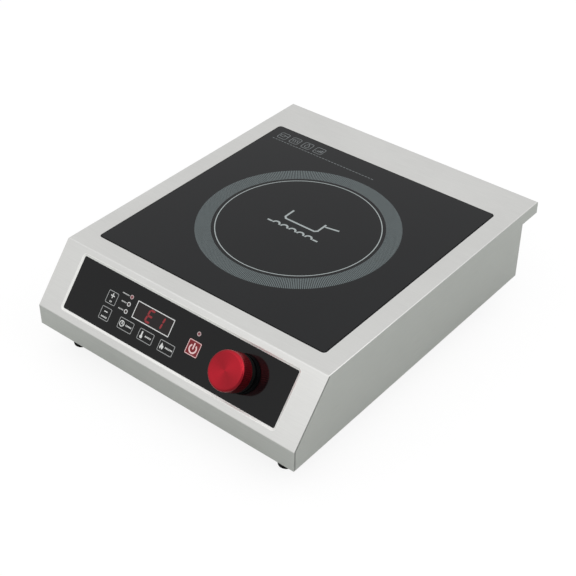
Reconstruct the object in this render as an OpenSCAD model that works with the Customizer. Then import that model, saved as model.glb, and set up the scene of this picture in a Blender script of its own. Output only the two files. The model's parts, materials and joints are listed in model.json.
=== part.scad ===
// Counter-top induction hob: folded stainless body, glass top, sloping control panel.
// X is the width, Y runs from the front to the back, Z is up. Millimetres.
// Shapes are drawn with Y = 0 on the front face and Z = 0 under the sheet body, and
// placed() moves them so that the origin is the middle of the footprint, on the table.

/* [Body] */
// Width of the body
body_w = 330; // [326:1:336]
// Height of the sheet body, without its feet
body_h = 80; // [80:1:86]
// Depth of the top plate, from the front face to its rear edge
plate_l = 405.5; // [402:0.5:420]
// Depth of the closed body under the top plate
side_l = 377; // [376:1:378]
// Height of the upright band at the front
band_h = 23; // [21:1:24]
// Depth of the sloping front face, seen from above
slope_run = 48; // [46:1:52]
// Drop of the flange around the rear overhang
flange_h = 14; // [10:1:18]
// Thickness of the stainless sheet
sheet_t = 1; // [0.8:0.1:1]
// Height of the feet
foot_h = 28; // [20:1:30]

/* [Glass] */
// Width of the glass plate
glass_w = 285; // [276:1:288]
// Depth of the glass plate
glass_l = 284; // [276:1:288]
// Thickness of the glass plate
glass_t = 4; // [4:0.5:5]
// Distance from the front face to the glass
glass_y = 70; // [66:1:72]

/* [Control panel] */
// Width of the printed panel
panel_w = 272; // [270:1:280]
// Length of the printed panel, along the slope
panel_l = 56; // [54:1:58]
// Distance of the panel's middle from the lower edge of the slope
panel_s = 38; // [37:0.5:39]
// How far a key travels when it is pressed
key_travel = 0.4; // [0.2:0.05:0.45]
// Diameter of the rotary knob
knob_d = 38.4; // [34:0.2:40]
// Height of the knob's face above the slope
knob_top = 23.4; // [22.6:0.1:26]
// Distance of the knob's axis from the middle of the panel
knob_x = 80; // [76:1:90]

/* [Fan and coil] */
// Side of the square fan frame
fan_w = 92; // [88:1:92]
// Blades on the fan
fan_blades = 7; // [5:1:9]
// Turns in the induction coil
coil_turns = 12; // [8:1:13]
// Ferrite bars under the coil
ferrite_count = 8; // [4:1:8]

/* [Hidden] */
$fn = 64;

// Sheet metal
bend_r = 1;
corner_r = 1.2;
seam_gap = 0.9;
lip_w = 12;
slope_angle = atan2(body_h - band_h, slope_run);
half_w = body_w / 2;
inner_w = half_w - sheet_t;

// Middle of the whole object from front to back: the knob's face reaches furthest forward
knob_chamfer = 2.1;
knob_r = knob_d / 2;
knob_front_y = (panel_s - knob_r + knob_chamfer) * cos(slope_angle) - knob_top * sin(slope_angle);
middle_y = (plate_l + knob_front_y) / 2;

// Glass and its seat
glass_proud = 0.3;
glass_gap = 1.1;
glass_r = 3;
seal_t = 1;
seal_side_gap = 0.1;
seal_step = 0.2;
seat_w = 8;
glass_low = body_h + glass_proud - glass_t;
seat_z = glass_low - seal_t;
glass_c = [0, glass_y + glass_l / 2];
opening_w = glass_w + 2 * glass_gap;
opening_l = glass_l + 2 * glass_gap;

// Control panel: heights are measured along the normal of the slope
panel_r = 1.2;
panel_t = 2;
panel_gap = 0.4;
recess_border = 2.4;
recess_r = 4;
recess_depth = 0.9;
recess_w = panel_w + 2 * recess_border;
recess_l = panel_l + 2 * recess_border;
panel_top = -0.8;
panel_low = panel_top - panel_t;
ledge_w = 5;
ledge_low = panel_low - sheet_t;
key_gap = 0.1;
key_r = 1;
key_lip = 1;
key_flange_t = 0.8;
key_flange_top = panel_low - key_gap;
stem_r = 1.5;
stem_low = -7.5;
switch_top = stem_low - key_travel - 0.05;
carrier_top = -4.6;
carrier_low = -6.2;
board_top = -11.2;
board_t = 1.6;
board_low = board_top - board_t;
board_l = 42;
board_w = 242;
connector_h = 8;
// Plug of the flat cable: its middle across and along the slope, then its width and length
CONNECTOR = [-10, -8, 24, 7];

// Each key: its middle across and along the slope, from the panel's middle, then its width and length
KEY_PLUS = [-85.4, 4, 13.4, 13.4];
KEY_MINUS = [-85.4, -12.8, 13.4, 13.4];
KEY_TIMER = [-57.2, -13.1, 19.2, 11.6];
KEY_TEMPERATURE = [-30.5, -13.1, 19.2, 11.6];
KEY_POWER_LEVEL = [-3.8, -13.1, 19.2, 11.6];
KEY_ON_OFF = [24, -0.5, 15.2, 14.8];
KEYS = [KEY_PLUS, KEY_MINUS, KEY_TIMER, KEY_TEMPERATURE, KEY_POWER_LEVEL, KEY_ON_OFF];
LEDS = [[-63.7, 14], [-63.7, 6.4], [-63.7, -1.2], [23.8, 14]];
DISPLAY = [-30.8, 5.6, 48.4, 17.8];
BOSSES = [for (x = [-114, 50, 114], s = [-15, 15]) [x, s]];
STUDS = [for (side = [-1, 1]) each [[side * (panel_w / 2 - 2.1), -18], [side * (panel_w / 2 - 2.1), 18],
    [0, side * (panel_l / 2 - 2.1)]]];
led_r = 1.5;
stud_r = 1.5;
nut_h = 2.4;

// Rotary encoder and knob
shaft_r = 3;
shaft_gap = 0.05;
bush_r = 3.5;
cap_low = 6.7;
cap_wall = 1.8;
skirt_r = knob_r - 0.8;
skirt_low = 0.3;

// Cooking zone and everything that holds the coil
zone_c = [0, 210];
coil_in = 26;
coil_pitch = 5;
coil_wire = 4.2;
lead_r = 2;
lead_y = 2.3;
lead_in_x = 16;
holder_r = 8;
coil_low = glass_low - 5;
coil_h = 4.1;
mica_t = 0.7;
mica_r = 100;
former_r = 95;
former_low = coil_low - 2;
former_t = 1.9;
ferrite_t = 5;
ferrite_top = former_low - 0.1;
carrier_t = 1.5;
carrier_z = ferrite_top - ferrite_t - 0.1 - carrier_t;
bar_ys = [-50, 50];
post_x = 148;
post_h = 40;
pin_r = 2;
POSTS = [for (side = [-1, 1], y = bar_ys) [side * post_x, zone_c[1] + y]];

// Base plate and feet
base_z = sheet_t;
base_top = base_z + sheet_t;
base_half_w = inner_w - 0.5;
base_l = side_l - 2 - 0.3;
foot_x = 136;
foot_y = 25;
FEET = [for (x = [-foot_x, foot_x], y = [foot_y, side_l - foot_y]) [x, y]];
m4_r = 2;
m4_head_r = 3.8;
m4_head_h = 2.4;
m4_hole_r = 2.2;
tap_r = 2.05;
SIDE_SCREWS = [for (side = [-1, 1], y = [60, 190, 320]) [side * (half_w - 8), y]];
FRONT_SCREWS = [for (side = [-1, 1]) [side * 80, 7]];
LIP_SCREWS = concat(SIDE_SCREWS, FRONT_SCREWS);
FLANGE_SCREWS = [for (side = [-1, 1]) [side * 80, side_l - 8]];
EARTH_POINT = [56, side_l - 62];
FAR_VENT = [95, 150];
RETURN_SCREWS = [for (side = [-1, 1], z = [18, 42, 66]) [side * (half_w - 6.5), z]];

// Fan
fan_c = [-88, 118];
fan_h = 25;
fan_bore_r = fan_w / 2 - 2;
fan_hub_r = 17;
fan_axle_r = 1.5;
fan_axle_gap = 0.06;
fan_screw_x = fan_w / 2 - 4.75;
FAN_SCREWS = [for (x = [-1, 1], y = [-1, 1]) fan_c + fan_screw_x * [x, y]];

// Power electronics
power_z = base_top + 8;
power_board_t = 1.6;
power_top = power_z + power_board_t;
POWER_BOARD = [[-138, 176], [30, 326]];
BOARD_POSTS = [for (x = [-133, 25], y = [182, 321]) [x, y]];
device_h = 5;
sink_c = [-99, 240];
sink_w = 70;
sink_l = 120;
sink_base = 4.4;
sink_h = 28;
fin_t = 1.5;
fin_count = 12;

// Supply cord
cord_r = 4.75;
cord_bend = 10;
cord_x = 120;
cord_z = 36;
cord_drop_y = side_l + 21;
cord_table_z = cord_r + 0.1 - foot_h;
cord_tail = 70;
bushing_r = 8;
TERMINALS = [84, 98];
terminal_y = side_l - 36;
terminal_top = 20;

// ---------- helpers ----------

function unit(v) = v / norm(v);

// Front-to-back and height position of a point s up the slope and h above it
function slope_point(s, h) =
    [s * cos(slope_angle) - h * sin(slope_angle), band_h + s * sin(slope_angle) + h * cos(slope_angle)];

// Points of the arc of radius r that rounds corner b of the path a, b, c
function rounded(a, b, c, r, steps = 6) =
    let (
        to_a = unit(a - b),
        to_c = unit(c - b),
        half = acos(to_a * to_c) / 2,
        centre = b + unit(to_a + to_c) * r / sin(half),
        first = b + to_a * r / tan(half) - centre,
        last = b + to_c * r / tan(half) - centre,
        start = atan2(first[1], first[0]),
        sweep = (atan2(last[1], last[0]) - start + 540) % 360 - 180
    )
    [for (i = [0:steps]) centre + r * [cos(start + sweep * i / steps), sin(start + sweep * i / steps)]];

// Moves a shape drawn from the front face and the body's underside into the object's own frame
module placed() {
    translate([0, -middle_y, foot_h]) children();
}

// Puts a shape on the sloping face: x across, s up from the panel's middle, z along the normal
module on_panel(x = 0, s = 0) {
    translate([0, 0, band_h])
        rotate([slope_angle, 0, 0])
            translate([x, panel_s + s, 0])
                children();
}

module rounded_rectangle(w, l, r) {
    square([w - 2 * r, l], center = true);
    square([w, l - 2 * r], center = true);
    for (x = [-1, 1], y = [-1, 1])
        translate([x * (w / 2 - r), y * (l / 2 - r)]) circle(r);
}

// A plate with rounded corners from height z0 to height z1
module plate(w, l, r, z0, z1) {
    translate([0, 0, z0]) linear_extrude(z1 - z0) rounded_rectangle(w, l, r);
}

module rod(r, z0, z1) {
    translate([0, 0, z0]) cylinder(r = r, h = z1 - z0);
}

module hex(across_flats, z0, z1) {
    translate([0, 0, z0]) cylinder(d = across_flats / cos(30), h = z1 - z0, $fn = 6);
}

// A screw standing on its head: the head is below z = 0 and the shank rises to the given length
module pan_screw(r, length, head_r, head_h) {
    difference() {
        union() {
            rod(head_r, -head_h, 0);
            rod(r, 0, length);
        }
        for (turn = [0, 90])
            rotate(turn) translate([-head_r * 0.55, -0.4, -head_h - 1]) cube([head_r * 1.1, 0.8, 2]);
    }
}

module m4_screw(length) {
    pan_screw(m4_r, length, m4_head_r, m4_head_h);
}

// A straight round wire between two points
module segment(a, b, r) {
    d = b - a;
    translate(a)
        rotate([0, acos(d[2] / norm(d)), atan2(d[1], d[0])])
            cylinder(r = r, h = norm(d), $fn = 24);
}

// A wire through a list of points, with a ball at each bend
module wire(points, r) {
    for (i = [1:len(points) - 1]) segment(points[i - 1], points[i], r);
    for (i = [1:len(points) - 2]) translate(points[i]) sphere(r * 1.06, $fn = 24);
}

// ---------- sheet metal ----------

// A pressed pocket with its mouth at z = 0: walls around a plate, and a ledge under it
module pocket(w, l, r, depth, ledge) {
    difference() {
        plate(w + 2 * sheet_t, l + 2 * sheet_t, r + sheet_t, -depth - sheet_t, 0);
        plate(w, l, r, -depth, 1);
        plate(w - 2 * ledge, l - 2 * ledge, 1, -depth - 2 * sheet_t, 0);
    }
}

module glass_pocket() {
    translate([glass_c[0], glass_c[1], body_h])
        pocket(opening_w, opening_l, glass_r + glass_gap, body_h - seat_z, seat_w);
}

// Shallow pressed recess, with the deeper pocket that holds the panel in its middle
module panel_pocket() {
    on_panel() {
        plate(recess_w + 2 * sheet_t, recess_l + 2 * sheet_t, recess_r + sheet_t, -recess_depth - sheet_t, 0);
        pocket(panel_w + 2 * panel_gap, panel_l + 2 * panel_gap, panel_r, -panel_low, ledge_w);
    }
}

// Front band, slope, top plate and rear flange: one strip folded along its width
module folded_strip() {
    t = sheet_t;
    top_bend = t * tan(slope_angle / 2);
    band_bend = t * tan(45 - slope_angle / 2);
    outer = [[0, 0], [0, band_h], [slope_run, body_h], [plate_l, body_h], [plate_l, body_h - flange_h]];
    inner = [[plate_l - t, body_h - flange_h], [plate_l - t, body_h - t],
        [slope_run + top_bend, body_h - t], [t, band_h - band_bend], [t, t]];
    profile = concat(
        [outer[0]],
        [for (i = [1:3]) each rounded(outer[i - 1], outer[i], outer[i + 1], bend_r + t)],
        [outer[4], inner[0]],
        [for (i = [1:3]) each rounded(inner[i - 1], inner[i], inner[i + 1], bend_r)],
        [inner[4], [lip_w, t], [lip_w, 0]]
    );
    translate([-half_w, 0, 0])
        rotate([90, 0, 90])
            linear_extrude(body_w) polygon(profile);
}

// One side wall with its bottom lip and rear return; a seam is left along the slope and the band
module side_wall() {
    inset = sheet_t + seam_gap;
    slope_top = [slope_run + inset * tan(slope_angle / 2), body_h - inset];
    slope_low = [inset, band_h - inset * tan(45 - slope_angle / 2)];
    top_z = body_h - sheet_t / 2;
    translate([inner_w, 0, 0])
        rotate([90, 0, 90])
            linear_extrude(sheet_t)
                polygon([[inset, 0], slope_low, slope_top, [slope_top[0], top_z],
                    [plate_l - sheet_t / 2, top_z], [plate_l - sheet_t / 2, body_h - flange_h],
                    [side_l, body_h - flange_h], [side_l, 0]]);
    translate([half_w - lip_w, lip_w + 2, 0]) cube([lip_w, side_l - lip_w - 2, sheet_t]);
    translate([half_w - lip_w, side_l - sheet_t, 0]) cube([lip_w, sheet_t, body_h - sheet_t / 2]);
}

// The body's outline seen from the front, which rounds the long top edges
module front_outline() {
    translate([0, plate_l + 1, 0])
        rotate([90, 0, 0])
            linear_extrude(plate_l + 2) {
                translate([-half_w, -1]) square([body_w, body_h - corner_r + 1]);
                translate([-half_w + corner_r, 0]) square([body_w - 2 * corner_r, body_h]);
                for (side = [-1, 1])
                    translate([side * (half_w - corner_r), body_h - corner_r]) circle(corner_r);
            }
}

module top_cover() {
    color("gainsboro") placed() {
        difference() {
            union() {
                intersection() {
                    union() {
                        folded_strip();
                        side_wall();
                        mirror([1, 0, 0]) side_wall();
                    }
                    front_outline();
                }
                glass_pocket();
                panel_pocket();
            }
            translate([glass_c[0], glass_c[1], body_h])
                plate(opening_w, opening_l, glass_r + glass_gap, seat_z - body_h, 1);
            on_panel() {
                plate(recess_w, recess_l, recess_r, -recess_depth, 1);
                plate(panel_w + 2 * panel_gap, panel_l + 2 * panel_gap, panel_r, panel_low, 1);
            }
            for (p = LIP_SCREWS) translate([p[0], p[1], 0]) rod(m4_hole_r, -1, sheet_t + 1);
            for (p = RETURN_SCREWS)
                translate([p[0], side_l + 1, p[1]]) rotate([90, 0, 0]) rod(m4_hole_r, 0, sheet_t + 1.5);
        }
        for (p = STUDS) on_panel(p[0], p[1]) rod(stud_r, carrier_low - nut_h - 1, ledge_low);
    }
}

// Slots in rows, as one flat outline centred on the origin
module slot_rows(columns, rows, slot_w, slot_l, pitch_x, pitch_y) {
    for (i = [0:columns - 1], j = [0:rows - 1])
        translate([(i - (columns - 1) / 2) * pitch_x, (j - (rows - 1) / 2) * pitch_y])
            rounded_rectangle(slot_w, slot_l, slot_w / 2 - 0.01);
}

module base_plate() {
    color("silver") placed() difference() {
        union() {
            translate([-base_half_w, 1.5, base_z]) cube([2 * base_half_w, base_l - 1.5, sheet_t]);
            for (side = [-1, 1])
                translate([side * (base_half_w - sheet_t / 2) - sheet_t / 2, 14, base_z])
                    cube([sheet_t, base_l - 16, 10]);
        }
        translate([fan_c[0], fan_c[1], 0]) linear_extrude(3 * sheet_t) slot_rows(8, 2, 4, 34, 9, 38);
        translate([FAR_VENT[0], FAR_VENT[1], 0]) linear_extrude(3 * sheet_t) slot_rows(8, 2, 4, 34, 9, 42);
        for (p = concat(LIP_SCREWS, FLANGE_SCREWS, [EARTH_POINT]))
            translate([p[0], p[1], 0]) rod(tap_r, 0, 3);
        for (p = concat(FEET, FAN_SCREWS)) translate([p[0], p[1], 0]) rod(m4_hole_r, 0, 3);
    }
}

module rear_panel() {
    y = side_l - 2 * sheet_t;
    panel_h = body_h - sheet_t - base_top - 0.5;
    cut = 3 * sheet_t;
    color("silver") placed() difference() {
        union() {
            translate([-base_half_w, y, base_top]) cube([2 * base_half_w, sheet_t, panel_h]);
            translate([-half_w + 16, side_l - 2 - lip_w, base_top]) cube([body_w - 32, lip_w, sheet_t]);
        }
        translate([-24, y + 2 * sheet_t, 44])
            rotate([90, 0, 0]) linear_extrude(cut) slot_rows(24, 1, 4, 44, 9, 50);
        translate([cord_x, y + 2 * sheet_t, cord_z]) rotate([90, 0, 0]) rod(bushing_r + 0.1, 0, cut);
        for (p = RETURN_SCREWS)
            translate([p[0], y + 2 * sheet_t, p[1]]) rotate([90, 0, 0]) rod(tap_r, 0, cut);
        for (p = FLANGE_SCREWS) translate([p[0], p[1], 0]) rod(tap_r, 0, 5);
    }
}

// ---------- feet and fasteners ----------

module foot() {
    foot_low_r = 8;
    foot_top_r = 10;
    edge = 1.2;
    difference() {
        rotate_extrude()
            polygon([[0, -foot_h], [foot_low_r - edge, -foot_h], [foot_low_r, edge - foot_h],
                [foot_top_r, -3], [foot_top_r, base_z], [0, base_z]]);
        rod(m4_head_r + 0.5, -foot_h - 1, -foot_h / 2);
        rod(m4_hole_r, -foot_h, base_z + 1);
    }
}

module feet() {
    color([0.08, 0.08, 0.08]) placed() for (p = FEET) translate([p[0], p[1], 0]) foot();
}

module foot_screws() {
    color("silver") placed()
        for (p = FEET) translate([p[0], p[1], -foot_h / 2]) m4_screw(foot_h / 2 + base_top + 4);
}

module foot_nuts() {
    color("silver") placed() for (p = FEET) translate([p[0], p[1], base_top]) difference() {
        hex(7, 0, 3.2);
        rod(tap_r, -1, 5);
    }
}

module base_screws() {
    color("silver") placed() {
        for (p = LIP_SCREWS) translate([p[0], p[1], 0]) m4_screw(8);
        for (p = FLANGE_SCREWS) translate([p[0], p[1], base_z]) m4_screw(8);
    }
}

module rear_screws() {
    color("silver") placed()
        for (p = RETURN_SCREWS) translate([p[0], side_l, p[1]]) rotate([90, 0, 0]) m4_screw(8);
}

// ---------- glass top ----------

module glass_plate() {
    color([0.15, 0.16, 0.17]) placed()
        translate([glass_c[0], glass_c[1], glass_low]) plate(glass_w, glass_l, glass_r, 0, glass_t);
}

module glass_seal() {
    outer = glass_gap - seal_side_gap;
    color([0.05, 0.05, 0.05]) placed() translate([glass_c[0], glass_c[1], 0]) {
        difference() {
            plate(glass_w + 2 * outer, glass_l + 2 * outer, glass_r + outer, seat_z, body_h - seal_step);
            plate(glass_w - 2 * seat_w, glass_l - 2 * seat_w, glass_r, seat_z - 1, body_h);
            plate(glass_w + 2 * seal_side_gap, glass_l + 2 * seal_side_gap, glass_r + seal_side_gap,
                glass_low, body_h);
        }
    }
}

// ---------- control panel ----------

module control_overlay() {
    color([0.13, 0.14, 0.15]) placed() on_panel() difference() {
        plate(panel_w, panel_l, panel_r, panel_low, panel_top);
        for (k = KEYS)
            translate([k[0], k[1], 0])
                plate(k[2] + 2 * key_gap, k[3] + 2 * key_gap, key_r, panel_low - 1, 0);
        translate([DISPLAY[0], DISPLAY[1], 0])
            plate(DISPLAY[2] + 0.1, DISPLAY[3] + 0.1, 0.5, panel_low - 1, 0);
        for (p = LEDS) translate([p[0], p[1], 0]) rod(led_r + 0.05, panel_low - 1, 0);
        translate([knob_x, 0, 0]) rod(bush_r + 0.2, panel_low - 1, 0);
    }
}

module display_window() {
    color([0.16, 0.13, 0.12]) placed() on_panel(DISPLAY[0], DISPLAY[1])
        plate(DISPLAY[2], DISPLAY[3], 0.45, panel_low, panel_top);
}

module display_module() {
    color([0.1, 0.1, 0.1]) placed() on_panel(DISPLAY[0], DISPLAY[1])
        plate(DISPLAY[2] - 2.4, DISPLAY[3] - 1.8, 0.5, board_top, panel_low - 0.2);
}

module indicator_leds() {
    color([0.9, 0.3, 0.3]) placed() for (p = LEDS) on_panel(p[0], p[1]) {
        rod(led_r, board_top + 2, panel_top);
        rod(led_r + 0.4, board_top + 2, board_top + 3);
        for (side = [-1, 1]) translate([side * 0.7, 0, 0]) rod(0.25, board_top, board_top + 2.5);
    }
}

// A key: the cap fills its opening, a wider flange keeps it in, and a stem reaches to its switch
module key(k) {
    placed() on_panel(k[0], k[1]) {
        plate(k[2], k[3], key_r - key_gap / 2, key_flange_top, panel_top);
        plate(k[2] + 2 * key_lip, k[3] + 2 * key_lip, key_r, key_flange_top - key_flange_t, key_flange_top);
        rod(stem_r, stem_low, key_flange_top - key_flange_t);
    }
}

module key_plus() {
    color([0.13, 0.14, 0.15]) key(KEY_PLUS);
}

module key_minus() {
    color([0.13, 0.14, 0.15]) key(KEY_MINUS);
}

module key_timer() {
    color([0.13, 0.14, 0.15]) key(KEY_TIMER);
}

module key_temperature() {
    color([0.13, 0.14, 0.15]) key(KEY_TEMPERATURE);
}

module key_power_level() {
    color([0.13, 0.14, 0.15]) key(KEY_POWER_LEVEL);
}

module key_on_off() {
    color([0.75, 0.1, 0.12]) key(KEY_ON_OFF);
}

// Frame behind the panel that guides the stems and carries the control board
module key_carrier() {
    boss_r = 3;
    color([0.2, 0.2, 0.22]) placed() on_panel() difference() {
        union() {
            plate(panel_w - 1, panel_l - 1, panel_r, carrier_low, carrier_top);
            for (p = STUDS) translate([p[0], p[1], 0]) rod(2, carrier_low, ledge_low);
            for (p = BOSSES) translate([p[0], p[1], 0]) rod(boss_r, board_top, carrier_low);
        }
        for (p = STUDS) translate([p[0], p[1], 0]) rod(stud_r + 0.1, carrier_low - 1, 0);
        for (p = BOSSES) translate([p[0], p[1], 0]) rod(1.2, board_top - 1, carrier_top - 0.6);
        for (k = KEYS) translate([k[0], k[1], 0]) rod(stem_r + 0.15, carrier_low - 1, 0);
        for (p = LEDS) translate([p[0], p[1], 0]) rod(led_r + 0.2, carrier_low - 1, 0);
        translate([DISPLAY[0], DISPLAY[1], 0])
            plate(DISPLAY[2] - 1.4, DISPLAY[3] - 0.8, 0.5, carrier_low - 1, 0);
        translate([knob_x, 0, 0]) plate(15, 15, 0.5, carrier_low - 1, 0);
    }
}

module carrier_nuts() {
    color("silver") placed() for (p = STUDS) on_panel(p[0], p[1]) difference() {
        hex(5.5, carrier_low - nut_h, carrier_low);
        rod(stud_r + 0.05, carrier_low - nut_h - 1, carrier_low + 1);
    }
}

module control_board() {
    color("darkgreen") placed() on_panel() {
        difference() {
            plate(board_w, board_l, 1, board_low, board_top);
            for (p = BOSSES) translate([p[0], p[1], 0]) rod(1.4, board_low - 1, board_top + 1);
        }
        translate([CONNECTOR[0], CONNECTOR[1], 0])
            plate(CONNECTOR[2], CONNECTOR[3], 0.5, board_low - connector_h, board_low);
    }
}

module control_board_screws() {
    color("silver") placed()
        for (p = BOSSES) on_panel(p[0], p[1]) translate([0, 0, board_low]) pan_screw(1.15, 6, 2.5, 1.8);
}

module tact_switches() {
    color([0.85, 0.85, 0.8]) placed() for (k = KEYS) on_panel(k[0], k[1]) {
        plate(6, 6, 0.4, board_top, board_top + 2.2);
        rod(1.7, board_top + 2.2, switch_top);
    }
}

module buzzer() {
    color([0.1, 0.1, 0.1]) placed() on_panel(45, 0) difference() {
        rod(6, board_low - 7, board_low);
        rod(1, board_low - 8, board_low - 6);
    }
}

// ---------- knob ----------

module encoder_body() {
    body_top = carrier_low + 1.2;
    color([0.5, 0.5, 0.5]) placed() on_panel(knob_x, 0) difference() {
        union() {
            plate(12.5, 13.2, 0.5, board_top, body_top);
            rod(bush_r, body_top, 3);
        }
        rod(shaft_r + shaft_gap, board_top + 2, 4);
    }
}

module encoder_nut() {
    color("silver") placed() on_panel(knob_x, 0) difference() {
        hex(10, panel_top, panel_top + 2);
        rod(bush_r + 0.05, panel_top - 1, panel_top + 3);
    }
}

module encoder_shaft() {
    color("silver") placed() on_panel(knob_x, 0) rod(shaft_r, board_top + 2.2, knob_top - 4.4);
}

// Black plastic inside of the knob, with the skirt that shows below the cap
module knob_core() {
    hub_bore_r = shaft_r + 0.02;
    color([0.05, 0.05, 0.05]) placed() on_panel(knob_x, 0) difference() {
        union() {
            rod(skirt_r, skirt_low, cap_low);
            rod(knob_r - cap_wall - 0.1, cap_low, knob_top - 2.5);
        }
        rod(skirt_r - 4, skirt_low - 1, cap_low - 1.2);
        rod(hub_bore_r, skirt_low, knob_top - 4.2);
    }
}

// Red aluminium cap, turned with a wide chamfer around its face
module knob_cap() {
    rim = 0.6;
    color([0.75, 0.1, 0.15]) placed() on_panel(knob_x, 0) rotate_extrude()
        polygon([[0, knob_top - 2], [knob_r - cap_wall, knob_top - 2], [knob_r - cap_wall, cap_low],
            [knob_r - rim, cap_low], [knob_r, cap_low + rim], [knob_r, knob_top - knob_chamfer],
            [knob_r - knob_chamfer, knob_top], [0, knob_top]]);
}

// ---------- cooking zone ----------

module over_zone() {
    placed() translate([zone_c[0], zone_c[1], 0]) children();
}

module mica_disc() {
    color("wheat") over_zone() difference() {
        rod(mica_r, glass_low - 0.1 - mica_t, glass_low - 0.1);
        rod(6, glass_low - 2, glass_low);
    }
}

// Litz winding: one flat spiral strip
module induction_coil() {
    step = 12;
    steps = coil_turns * 360 / step;
    function spiral(r, i) = (r + coil_pitch * i * step / 360) * [cos(i * step), sin(i * step)];
    color([0.72, 0.45, 0.2]) over_zone() translate([0, 0, coil_low]) linear_extrude(coil_h)
        polygon(concat(
            [for (i = [0:steps]) spiral(coil_in, i)],
            [for (i = [steps:-1:0]) spiral(coil_in + coil_wire, i)]
        ));
}

// Plastic tray of the winding, with a notch in each rim for the leads
module coil_former() {
    rim_t = 2;
    rim_top = coil_low + coil_h;
    hub_r = 22;
    notch = 10;
    color([0.12, 0.12, 0.12]) over_zone() {
        difference() {
            union() {
                rod(former_r, former_low, former_low + former_t);
                for (i = [0:3])
                    rotate(22.5 + 90 * i)
                        translate([former_r - 4, 0, 0]) rod(3, carrier_z + carrier_t, former_low + 1);
            }
            rod(holder_r + 0.1, former_low - 1, coil_low);
            translate([lead_in_x, -lead_y, 0]) rod(lead_r + 0.6, former_low - 1, coil_low);
        }
        for (r = [former_r, hub_r])
            difference() {
                rod(r, former_low, rim_top);
                rod(r - rim_t, former_low - 1, rim_top + 1);
                translate([r, 0, coil_low + notch / 2]) cube(notch, center = true);
            }
    }
}

module ferrite_bars() {
    color([0.2, 0.2, 0.22]) over_zone()
        for (i = [0:ferrite_count - 1])
            rotate(i * 360 / ferrite_count)
                translate([26, -7, ferrite_top - ferrite_t]) cube([56, 14, ferrite_t]);
}

// Aluminium shield plate with two cross bars that rest on the springs
module coil_carrier() {
    bar_w = 20;
    color("silver") over_zone() translate([0, 0, carrier_z]) difference() {
        linear_extrude(carrier_t) {
            circle(former_r + 2);
            for (y = bar_ys) translate([0, y]) square([2 * (post_x + 6), bar_w], center = true);
        }
        rod(20, -1, carrier_t + 1);
        for (p = POSTS) translate([p[0], p[1] - zone_c[1], 0]) rod(pin_r + 0.2, -1, carrier_t + 1);
    }
}

module coil_posts() {
    color([0.85, 0.85, 0.8]) placed() for (p = POSTS) translate([p[0], p[1], 0]) {
        rod(5, base_top, post_h);
        rod(pin_r, post_h, carrier_z + 5);
    }
}

module coil_springs() {
    spring_r = 3.6;
    spring_wire = 1;
    turns = 5;
    slices_per_turn = 12;
    free_h = carrier_z - post_h;
    // A wire of square section covers this much of a turn in any flat cut through the spring
    cover = 360 * turns * spring_wire / free_h;
    step = cover / 4;
    color("silver") placed() for (p = POSTS) translate([p[0], p[1], post_h])
        linear_extrude(free_h, twist = -360 * turns, slices = turns * slices_per_turn, $fn = 6)
            polygon(concat(
                [for (i = [0:4]) (spring_r + spring_wire / 2) * [cos(i * step), sin(i * step)]],
                [for (i = [4:-1:0]) (spring_r - spring_wire / 2) * [cos(i * step), sin(i * step)]]
            ));
}

// Silicone plug that presses the sensor against the glass
module sensor_holder() {
    color([0.8, 0.8, 0.78]) over_zone() difference() {
        union() {
            rod(holder_r, former_low + 0.1, coil_low + coil_h);
            rod(holder_r + 4, coil_low, coil_low + 1.5);
        }
        rod(3.2, coil_low + 2, coil_low + coil_h + 1);
        rod(1.5, former_low - 1, coil_low + 3);
    }
}

// Thermistor with its twin lead, which runs down to the power board
module temperature_sensor() {
    end = [-8, 90, power_top];
    color([0.75, 0.6, 0.45]) over_zone() {
        rod(3, coil_low + 2.2, glass_low - 0.05);
        wire([[0, 0, coil_low + 3], [0, 0, carrier_z - 12], end + [0, 0, 8], end], 1.2);
    }
}

// The two ends of the winding, led down to the power board
module coil_leads() {
    z = coil_low + coil_h / 2;
    low = power_top + 12;
    color([0.75, 0.3, 0.1]) over_zone() {
        wire([[coil_in + 2, -lead_y, z], [lead_in_x, -lead_y, z], [lead_in_x, -lead_y, carrier_z - 5],
            [-2, 20, low + 8], [-2, 76, low], [-2, 76, power_top]], lead_r);
        wire([[coil_in + coil_turns * coil_pitch + 2, lead_y, z], [former_r + 5, lead_y, z],
            [former_r + 5, lead_y, low], [12, 86, low], [12, 86, power_top]], lead_r);
    }
}

// ---------- power electronics ----------

module power_board() {
    size = POWER_BOARD[1] - POWER_BOARD[0];
    color("darkgreen") placed() difference() {
        translate([POWER_BOARD[0][0], POWER_BOARD[0][1], power_z]) cube([size[0], size[1], power_board_t]);
        for (p = BOARD_POSTS) translate([p[0], p[1], 0]) rod(1.7, power_z - 1, power_top + 1);
    }
}

module power_board_posts() {
    color("white") placed() for (p = BOARD_POSTS) translate([p[0], p[1], 0]) difference() {
        rod(3.5, base_top, power_z);
        rod(1.6, base_top + 1, power_z + 1);
    }
}

module power_board_screws() {
    color("silver") placed() for (p = BOARD_POSTS)
        translate([p[0], p[1], power_top]) mirror([0, 0, 1]) pan_screw(1.5, 7, 2.8, 2);
}

module heat_sink() {
    fin_pitch = (sink_w - fin_t) / (fin_count - 1);
    color("silver") placed()
        translate([sink_c[0], sink_c[1] + sink_l / 2, power_top + device_h])
            rotate([90, 0, 0])
                linear_extrude(sink_l) {
                    translate([-sink_w / 2, 0]) square([sink_w, sink_base]);
                    for (i = [0:fin_count - 1])
                        translate([-sink_w / 2 + i * fin_pitch, 0]) square([fin_t, sink_h]);
                }
}

// A flat power package on the board with its legs soldered in front of it
module package(w, l, legs) {
    translate([-w / 2, 0, 0]) cube([w, l, device_h]);
    for (i = [0:legs - 1])
        translate([(i - (legs - 1) / 2) * 5.4 - 0.6, -7, 0]) cube([1.2, 8, 1]);
}

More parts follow.
